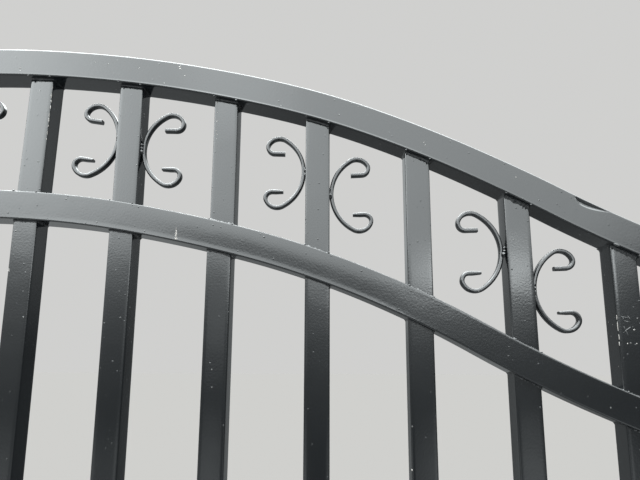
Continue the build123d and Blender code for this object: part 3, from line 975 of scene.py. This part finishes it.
# Drips in the enamel of one picket, and pale dashes down its left edge that are a painted highlight:
# kind, half their width and thickness in metres, then X and Z where each starts, in metres, and how far
# it goes along X and Z, in millimetres
STROKES = (
    ("run", 0.0007, 0.0006, (
        (2.4761, 1.5550, 8.5, -2.0), (2.4780, 1.5537, 0.3, -3.9), (2.4783, 1.5498, 7.2, -1.4),
        (2.4841, 1.5550, 2.2, -4.6), (2.4783, 1.5431, 0.6, -6.7), (2.4778, 1.5371, 7.2, 5.3),
        (2.4793, 1.5397, 3.1, -9.2))),
    ("chip_and_highlight", 0.0005, 0.0002, (
        (2.4709, 1.5563, 0, -4.6), (2.4709, 1.5489, 0, -10.6), (2.4713, 1.5344, 0, -6.0),
        (2.4708, 1.5258, 0, -3.9))),
)
MARK_LUMP, STROKE_LUMP = 0.6, 0.35      # how uneven their outlines are
PAINTED_HIGHLIGHT_FROM = 0.45            # share of the first picket's height from which its right edge gets the painted highlight


class GATE_OT_marks(bpy.types.Operator):
    """Chips, drips, and pale dashes of painted highlight along picket edges, in the enamel of the
    right-hand leaf
    """

    bl_idname = "gate.marks"
    bl_label = "Chips and drips"

    def execute(self, context):
        # This pale finish serves the chips and the painted highlight along picket edges
        chip_and_highlight_finish = plain_finish("primer_and_painted_highlight", context.scene.gate_paint.chip_and_highlight, roughness=0.45)
        made = {"chip_and_highlight": bmesh.new(), "run": bmesh.new()}
        for kind, y, thick, marks in MARKS:
            for x, z, width, height in marks:
                blob(made[kind], (x, y, z), (MM * width / 2, thick, MM * height / 2), MARK_LUMP)
        for kind, half_width, thick, strokes in STROKES:
            for x, z, along, up in strokes:
                half_length = MM * math.hypot(along, up) / 2 + half_width
                blob(made[kind], (x + MM * along / 2, PICKET_FACE, z + MM * up / 2),
                     (half_width, thick, half_length), STROKE_LUMP, math.atan2(along, up))
        self.painted_edge_highlight(made["chip_and_highlight"], context.scene.gate_shape)
        finish_piece(made["chip_and_highlight"], "enamel_chips_and_painted_highlights", "right_leaf", material=chip_and_highlight_finish, sharp=LUMPY)
        finish_piece(made["run"], "enamel_runs", "right_leaf", sharp=LUMPY)
        return {"FINISHED"}

    def painted_edge_highlight(self, bm, shape):
        """Pale dashes along the right edge of the first upper picket, a painted highlight broken in
        places.
        """
        foot_x, top_x = picket_places(shape, UPPER_DRIFTS)[0]
        neck = SwanNeck(shape)
        top, foot = neck.height(top_x, neck.rail_foot), neck.height(foot_x, shape.rail_spacing)
        rng = random.Random(3)
        z = foot + PAINTED_HIGHLIGHT_FROM * (top - foot)
        while z < top - 4 * MM:
            long = rng.uniform(0.0010, 0.0075)
            x = foot_x + (top_x - foot_x) * (z - foot) / (top - foot) + PICKET_TUBE / 2
            blob(bm, (x - rng.uniform(0.0002, 0.0007), PICKET_FACE + 0.0004, z + long / 2),
                 (rng.uniform(0.0002, 0.0006), 0.0006, long / 2), MARK_LUMP)
            z += long + rng.uniform(0.0002, 0.0070)


class GATE_OT_end_plugs(bpy.types.Operator):
    """Pressed-in plugs at the open ends of the top rails and stiles"""

    bl_idname = "gate.end_plugs"
    bl_label = "End plugs"

    SMALLER, CORNER = 0.0012, 0.0035    # how much smaller than the tube, and radius of its corners
    SUNK = 0.0005               # how deep its foot sits in the tube
    # Rows of its rolled edge: height over the tube's end, and share of the row before
    EDGE = ((0.0009, 1.0), (0.0013, 0.985), (0.0015, 0.95))
    CORNER_ZONE = 0.006         # what keeps its shape when a plug is stretched

    def execute(self, context):
        neck = SwanNeck(context.scene.gate_shape)
        foot_z = corners("right_meeting_stile")[0].z
        bm = bmesh.new()
        for x, way in ((MEETING_X, -1), (HINGE_X, 1)):
            self.plug(bm, lying(x, neck.height(x, neck.rail_middle), way), neck.slimmer)
            foot = Vector((x - way * FRAME_TUBE / 2, 0, foot_z))
            self.plug(bm, Matrix.Translation(foot) @ Matrix.Rotation(math.pi, 4, "X"))
        plastic = plain_finish("plug_plastic", context.scene.gate_paint.plug, roughness=0.5)
        finish_pair(bm, "end_plugs", material=plastic)
        return {"FINISHED"}

    def plug(self, bm, matrix, stretch=0.0):
        """A square plug with a rolled edge, standing 1.5 mm proud of the plane Z = 0."""
        one = bmesh.new()
        ring = tube_ring(one, FRAME_TUBE - self.SMALLER, self.CORNER, arc_steps=5, side_steps=4)
        bmesh.ops.translate(one, verts=one.verts, vec=(0, 0, -self.SUNK))
        raise_rows(one, ring, FRAME_TUBE, 0, self.EDGE)
        widen(one, stretch, FRAME_TUBE / 2 - self.CORNER_ZONE)
        join_into(bm, one, matrix)


class GATE_OT_hinges(bpy.types.Operator):
    """Pintles on the posts and eyes on the leaves"""

    bl_idname = "gate.hinges"
    bl_label = "Hinges"

    KNUCKLE = 0.040             # height of a hinge eye
    PIN, BORE, CHAMFER = 0.008, 0.00805, 0.0012
    SEAT_GAP = 0.0003           # between the eye and its pintle's seat
    LUG = 0.006                 # half the thickness of the lug that carries a knuckle
    LUG_SET = 0.008             # its middle, from the knuckle's front
    LUG_REACH = 0.75            # where it ends, from the axis, as a share of the knuckle's radius
    LUG_SHORT = 0.001           # how much shorter it is than the knuckle, at each end
    INTO_TUBE = 0.0002
    LUG_WELD = 0.003

    def execute(self, context):
        eyes, pintles = bmesh.new(), bmesh.new()
        axis_x, axis_y, _ = next(j for j in frame["joints"] if j["name"] == "right_leaf_swing")["pos_m"]
        lo, hi = corners("right_hinge_eyes")
        seats_lo, pins_hi = corners("right_pintles")
        radius = hi.x - axis_x
        lug_y = axis_y - radius + self.LUG_SET
        reach = radius * self.LUG_REACH
        bevel = self.CHAMFER
        for base in (lo.z, hi.z - self.KNUCKLE):
            top = base + self.KNUCKLE
            lathe(eyes, [(self.BORE, base), (radius - bevel, base), (radius, base + bevel),
                         (radius, top - bevel), (radius - bevel, top), (self.BORE, top)],
                  axis_x, axis_y)
            self.lug(eyes, HINGE_X - self.INTO_TUBE, axis_x - reach, lug_y, base, top)
            self.lug_weld(eyes, HINGE_X, lug_y, base + self.KNUCKLE / 2, self.KNUCKLE, 1)
            seat = base - self.SEAT_GAP
            foot = base - (lo.z - seats_lo.z)
            tip = pins_hi.z - (hi.z - self.KNUCKLE) + base
            lathe(pintles, [(0, foot), (radius - bevel, foot), (radius, foot + bevel),
                            (radius, seat - bevel), (radius - bevel, seat), (self.PIN, seat),
                            (self.PIN, tip - 2 * bevel), (self.PIN - 2 * bevel, tip), (0, tip)],
                  axis_x, axis_y)
            self.lug(pintles, axis_x + reach, pins_hi.x + self.INTO_TUBE, lug_y, foot, seat)
            self.lug_weld(pintles, pins_hi.x, lug_y, (foot + seat) / 2, seat - foot, -1)
        finish_pair(eyes, "hinge_eye_knuckles", ["hinge_eyes"])
        finish_pair(pintles, "pintle_pins", ["pintles"], post=True)
        return {"FINISHED"}

    def lug(self, bm, start, end, y, bottom, top):
        """The lug between a tube and a knuckle."""
        short = self.LUG_SHORT
        block(bm, (start, y - self.LUG, bottom + short), (end, y + self.LUG, top - short))

    def lug_weld(self, bm, x, y, z, height, way):
        side = 2 * self.LUG
        weld_round(bm, side, self.CHAMFER, self.LUG_WELD, lying(x, z, way, y),
                   stretch=height - 2 * self.LUG_SHORT - side)


class GATE_OT_posts(bpy.types.Operator):
    """Posts with caps, base plates and anchor bolts"""

    bl_idname = "gate.posts"
    bl_label = "Posts"

    CORNER, CROWN, WELD = 0.008, 0.0002, 0.005      # of the post's tube, and its weld's leg
    CAP_CORNER = 0.012
    # Height over the cap's foot, and share of its width as raise_rows takes it
    CAP_ROWS = ((0.0085, 1.0), (0.0098, 0.985), (0.0105, 0.95), (0.0245, 0.45), (0.0365, 0.06),
                (0.0380, 0.01))
    BOLT_REACH = 0.075          # from the post's middle, along X and Y
    # Outlines of (radius, height over the plate)
    WASHER = ((0.0065, 0), (0.0118, 0), (0.012, 0.0003), (0.012, 0.0022), (0.0116, 0.0025),
              (0.0065, 0.0025))
    STUD_FOOT = ((0, 0.001), (0.006, 0.001))        # but this one over the ground
    STUD_TOP = ((0.006, 0.0205), (0.0048, 0.022), (0, 0.022))
    NUT_RADIUS, NUT_HEIGHT, NUT_MIDDLE, NUT_EDGE = 0.0108, 0.010, 0.0075, 0.0007

    def execute(self, context):
        lo, hi = corners("right_post")
        x, side = (lo.x + hi.x) / 2, hi.x - lo.x
        bm = bmesh.new()
        upright(bm, x, 0, side, self.CORNER, (lo.z, 0), (hi.z, 0), self.CROWN)
        finish_pair(bm, "post_tube", ["post"], post=True)

        bm = bmesh.new()
        weld_round(bm, side, self.CORNER, self.WELD, Matrix.Translation((x, 0, lo.z)))
        finish_pair(bm, "post_welds", post=True, sharp=LUMPY)

        bm = bmesh.new()
        self.cap(bm, x, *corners("right_post_cap"))
        finish_pair(bm, "cap_pressing", ["post_cap"], post=True)

        for side_name in SIDES:
            paint_node(f"{side_name}_base_plate")
        self.anchors(x, corners("right_base_plate")[1].z)
        return {"FINISHED"}

    def cap(self, bm, x, lo, hi):
        """A pressed pyramid with a rolled rim."""
        side = hi.x - lo.x
        ring = tube_ring(bm, side, self.CAP_CORNER, side_steps=8)
        bmesh.ops.translate(bm, verts=bm.verts, vec=(0, 0, lo.z))
        cap_ring(bm, ring)
        raise_rows(bm, ring, side, lo.z, self.CAP_ROWS)
        bmesh.ops.translate(bm, verts=bm.verts, vec=(x, 0, 0))

    def anchors(self, x, top):
        """Stud, nut and washer in each hole of the plate."""
        bm = bmesh.new()
        for sx in (-self.BOLT_REACH, self.BOLT_REACH):
            for sy in (-self.BOLT_REACH, self.BOLT_REACH):
                lathe(bm, [(r, top + z) for r, z in self.WASHER], x + sx, sy)
                lathe(bm, [*self.STUD_FOOT, *((r, top + z) for r, z in self.STUD_TOP)], x + sx, sy)
                nut = bmesh.new()
                bmesh.ops.create_cone(nut, cap_ends=True, segments=6, radius1=self.NUT_RADIUS,
                                      radius2=self.NUT_RADIUS, depth=self.NUT_HEIGHT)
                tightened = 0.4 + 9 * sx + 5 * sy
                bmesh.ops.rotate(nut, verts=nut.verts, cent=(0, 0, 0),
                                 matrix=Matrix.Rotation(tightened, 3, "Z"))
                round_edges(nut, self.NUT_EDGE)
                join_into(bm, nut, Matrix.Translation((x + sx, sy, top + self.NUT_MIDDLE)))
        finish_pair(bm, "anchor_bolts", post=True, material=zinc_plate(), slot="bare_steel")


class GATE_OT_drop_bolt(bpy.types.Operator):
    """Drop bolt and its guides, behind the left leaf"""

    bl_idname = "gate.drop_bolt"
    bl_label = "Drop bolt"

    BEND, CHAMFER = 0.016, 0.0015       # radius of its bend, and its foot's chamfer

    def execute(self, context):
        lo, hi = corners("drop_bolt")
        radius = (hi.x - lo.x) / 2
        x, y = (lo.x + hi.x) / 2, lo.y + radius
        bend_z = hi.z - radius - self.BEND
        foot = radius - self.CHAMFER
        bm = bmesh.new()
        bmesh.ops.create_circle(bm, cap_ends=False, segments=32, radius=foot)
        bmesh.ops.translate(bm, verts=bm.verts, vec=(x, y, lo.z))
        edges = list(bm.edges)
        cap_ring(bm, edges)
        edges = push_ring(bm, edges, (0, 0, self.CHAMFER))
        for v in verts_of(edges):
            v.co.xy = Vector((x, y)) + (v.co.xy - Vector((x, y))) * radius / foot
        edges = push_ring(bm, edges, (0, 0, bend_z - lo.z - self.CHAMFER), steps=4)
        edges = turn_ring(bm, edges, (x, y + self.BEND, bend_z), (-1, 0, 0), QUARTER, 12)
        cap_ring(bm, push_ring(bm, edges, (0, hi.y - y - self.BEND, 0), steps=2))
        finish_piece(bm, "drop_bolt_rod", "left_leaf", ["drop_bolt"], zinc_plate(), "bare_steel")
        paint_node("drop_bolt_guides")
        return {"FINISHED"}


# Stage

SOFT_LIGHT = 0.95           # brightness of the even light on matt surfaces
BACKDROP = 0.63             # brightness of the backdrop, and of the floor
PALE_TINT = (1.0, 1.0, 0.985)
SKY_TINT = (0.945, 1.0, 1.01)
FLOOR_REACH = 40            # from the gate's middle to the floor's edges
# Brightness that the gloss reflects in front, by height over the skyline
SKY_BY_HEIGHT = (
    (-0.40, 0.14), (-0.25, 0.28), (-0.15, 0.52), (-0.10, 0.76), (-0.06, 1.02), (-0.035, 1.45),
    (-0.018, 1.9), (0.0, 2.6), (0.014, 3.8), (0.05, 5.0), (0.11, 5.8), (0.20, 6.3), (0.40, 6.8),
    (0.52, 9.0), (0.70, 14.0), (0.90, 17.0))
# How much of it there is, and how high the skyline lies, from left to right
SKY_BY_SIDE = (
    (-0.60, 1.72), (-0.47, 1.58), (-0.34, 1.24), (-0.19, 1.11), (-0.03, 1.0), (0.14, 0.94),
    (0.31, 0.88), (0.60, 0.84))
SKYLINE_BY_SIDE = (
    (-0.60, 0.166), (-0.49, 0.160), (-0.35, 0.148), (-0.20, 0.145), (-0.03, 0.095), (0.14, 0.075),
    (0.31, 0.083), (0.39, 0.105), (0.46, 0.135), (0.60, 0.150))
# Brightness of the ground in front, and of the ground and wall behind, from left to right
YARD_BY_SIDE = (
    (-0.47, 1.25), (-0.35, 0.66), (-0.20, 1.45), (-0.03, 0.05), (0.15, 0.95), (0.31, 1.70),
    (0.46, 0.60))
GROUND_BEHIND = (
    (-0.50, 0.36), (-0.33, 0.28), (-0.25, 0.19), (-0.09, 0.20), (0.0, 0.15), (0.08, 0.18),
    (0.17, 0.26), (0.30, 0.14), (0.45, 0.09))
WALL_BEHIND = ((-0.50, 0.25), (-0.31, 0.42), (-0.15, 0.65), (0.15, 0.25), (0.34, 0.22), (0.47, 0.44))
# Heights over which the yard fades out and the wall behind rises from its ground
YARD_FADE = (-0.22, 0.0)
WALL_RISE = (-0.02, 0.20)
# Where what lies behind takes over from the front, along Y, and where it ends, upwards
BEHIND_FROM = (-0.15, 0.25)
BEHIND_END = (0.40, 0.62)
# Pale patches in front: where each begins, is full, starts to fade and ends, along X and then Z,
# and its brightness
PATCHES = (
    ((0.02, 0.27, 0.31, 0.42), (0.085, 0.125, 0.130, 0.190), 6.4),
    ((-0.30, -0.21, -0.19, -0.10), (-0.08, 0.04, 0.07, 0.12), 0.75),
    ((-0.28, -0.20, -0.12, -0.03), (0.35, 0.40, 1.10, 1.20), 1.2),
)


class GATE_OT_stage(bpy.types.Operator):
    """Floor, sky, light and camera"""

    bl_idname = "gate.stage"
    bl_label = "Stage"

    def execute(self, context):
        scene = context.scene
        self.floor(scene)
        self.sky(scene)
        self.camera(scene)
        scene.view_settings.view_transform = "Standard"
        return {"FINISHED"}

    def floor(self, scene):
        bm = bmesh.new()
        bmesh.ops.create_grid(bm, x_segments=1, y_segments=1, size=FLOOR_REACH)
        bmesh.ops.translate(bm, verts=bm.verts, vec=(MID_X, 0, 0))
        mesh = bpy.data.meshes.new("floor")
        bm.to_mesh(mesh)
        bm.free()
        material = bpy.data.materials.new("pale_floor")
        material.use_nodes = True
        shader = material.node_tree.nodes["Principled BSDF"]
        shader.inputs["Base Color"].default_value = (*(Vector(PALE_TINT) * BACKDROP / SOFT_LIGHT), 1)
        shader.inputs["Roughness"].default_value = 0.9
        shader.inputs["Specular IOR Level"].default_value = 0.0
        mesh.materials.append(material)
        floor = bpy.data.objects.new("floor", mesh)
        floor.visible_glossy = False
        scene.collection.objects.link(floor)

    def sky(self, scene):
        """A sky that the gloss reflects, even soft light for the rest, and a pale backdrop."""
        world = bpy.data.worlds.new("studio")
        scene.world = world
        world.use_nodes = True
        world.node_tree.nodes.clear()
        wiring = Wiring(world.node_tree)
        combine = wiring.combine

        def ramp(source, span, start=0.0, end=1.0):
            return wiring.remap(source, span, start, end, "SMOOTHSTEP")

        def curve(source, stops):
            """Brightness by `source`, through the (place, brightness) stops."""
            first, last = stops[0][0], stops[-1][0]
            highest = max(level for _, level in stops)
            node = wiring.add("ValToRGB", Fac=wiring.remap(source, (first, last)))
            elements = node.color_ramp.elements
            while len(elements) < len(stops):
                elements.new(0.5)
            for element, (at, level) in zip(elements, stops):
                element.position = (at - first) / (last - first)
                element.color = (level / highest,) * 3 + (1,)
            return combine("MULTIPLY", node.outputs["Color"], highest)

        def blend(a, b, share):
            return wiring.add("Mix", Factor=share, A=a, B=b).outputs["Result"]

        def light(colour, strength):
            node = wiring.add("Background", Color=(*colour, 1), Strength=strength)
            return node.outputs["Background"]

        split = wiring.add("SeparateXYZ", Vector=wiring.add("TexCoord").outputs["Generated"])
        x, y, z = (split.outputs[axis] for axis in "XYZ")
        rise = combine("SUBTRACT", z, curve(x, SKYLINE_BY_SIDE))
        front = combine("MULTIPLY", curve(rise, SKY_BY_HEIGHT), curve(x, SKY_BY_SIDE))
        for along, upward, level in PATCHES:
            glow = combine("MULTIPLY", ramp(x, along[:2], 0.0, level), ramp(x, along[2:], 1.0, 0.0))
            glow = combine("MULTIPLY", glow, ramp(z, upward[:2]))
            glow = combine("MULTIPLY", glow, ramp(z, upward[2:], 1.0, 0.0))
            front = combine("ADD", front, glow)
        yard = combine("MULTIPLY", curve(x, YARD_BY_SIDE), ramp(z, YARD_FADE, 1.0, 0.0))
        front = combine("MAXIMUM", front, yard)
        back = blend(curve(x, GROUND_BEHIND), curve(x, WALL_BEHIND), ramp(z, WALL_RISE))
        behind = combine("MULTIPLY", ramp(y, BEHIND_FROM), ramp(z, BEHIND_END, 1.0, 0.0))
        glossy = blend(front, back, behind)

        ray = wiring.add("LightPath").outputs
        surface = light(PALE_TINT, SOFT_LIGHT)
        for chosen, source in ((ray["Is Glossy Ray"], light(SKY_TINT, glossy)),
                               (ray["Is Camera Ray"], light(PALE_TINT, BACKDROP))):
            mix = wiring.add("MixShader", Fac=chosen)
            wiring.put(mix.inputs[1], surface)
            wiring.put(mix.inputs[2], source)
            surface = mix.outputs["Shader"]
        wiring.add("OutputWorld", Surface=surface)

    def camera(self, scene):
        view = scene.gate_view
        data = bpy.data.cameras.new("camera")
        data.lens = view.lens
        data.sensor_width = 36
        data.clip_start = 0.05
        camera = bpy.data.objects.new("camera", data)
        camera.matrix_world = (
            Matrix.Translation(view.place) @ Matrix.Rotation(-view.yaw, 4, "Z")
            @ Matrix.Rotation(QUARTER + view.pitch, 4, "X") @ Matrix.Rotation(view.roll, 4, "Z"))
        scene.collection.objects.link(camera)
        scene.camera = camera


class GATE_PT_panel(bpy.types.Panel):
    """Lists the gate's builders"""

    bl_label = "Driveway Gate"
    bl_idname = "GATE_PT_panel"
    bl_space_type = "VIEW_3D"
    bl_region_type = "UI"
    bl_category = "Gate"

    def draw(self, context):
        for builder in BUILDERS:
            self.layout.operator(builder.bl_idname)


BUILDERS = (
    GATE_OT_curved_rails,
    GATE_OT_frame_tubes,
    GATE_OT_pickets,
    GATE_OT_scrolls,
    GATE_OT_welds,
    GATE_OT_marks,
    GATE_OT_end_plugs,
    GATE_OT_hinges,
    GATE_OT_posts,
    GATE_OT_drop_bolt,
    GATE_OT_stage,
)
CLASSES = (GateShape, GateWear, GatePaint, GateView, *BUILDERS, GATE_PT_panel)


def register():
    for cls in CLASSES:
        bpy.utils.register_class(cls)
    bpy.types.Scene.gate_shape = PointerProperty(type=GateShape)
    bpy.types.Scene.gate_wear = PointerProperty(type=GateWear)
    bpy.types.Scene.gate_paint = PointerProperty(type=GatePaint)
    bpy.types.Scene.gate_view = PointerProperty(type=GateView)


def unregister():
    del bpy.types.Scene.gate_view
    del bpy.types.Scene.gate_paint
    del bpy.types.Scene.gate_wear
    del bpy.types.Scene.gate_shape
    for cls in reversed(CLASSES):
        bpy.utils.unregister_class(cls)


def main():
    register()
    bpy.ops.gate.curved_rails()
    bpy.ops.gate.frame_tubes()
    bpy.ops.gate.pickets()
    bpy.ops.gate.scrolls()
    bpy.ops.gate.welds()
    bpy.ops.gate.marks()
    bpy.ops.gate.end_plugs()
    bpy.ops.gate.hinges()
    bpy.ops.gate.posts()
    bpy.ops.gate.drop_bolt()
    bpy.ops.gate.stage()


if __name__ == "__main__":
    main()
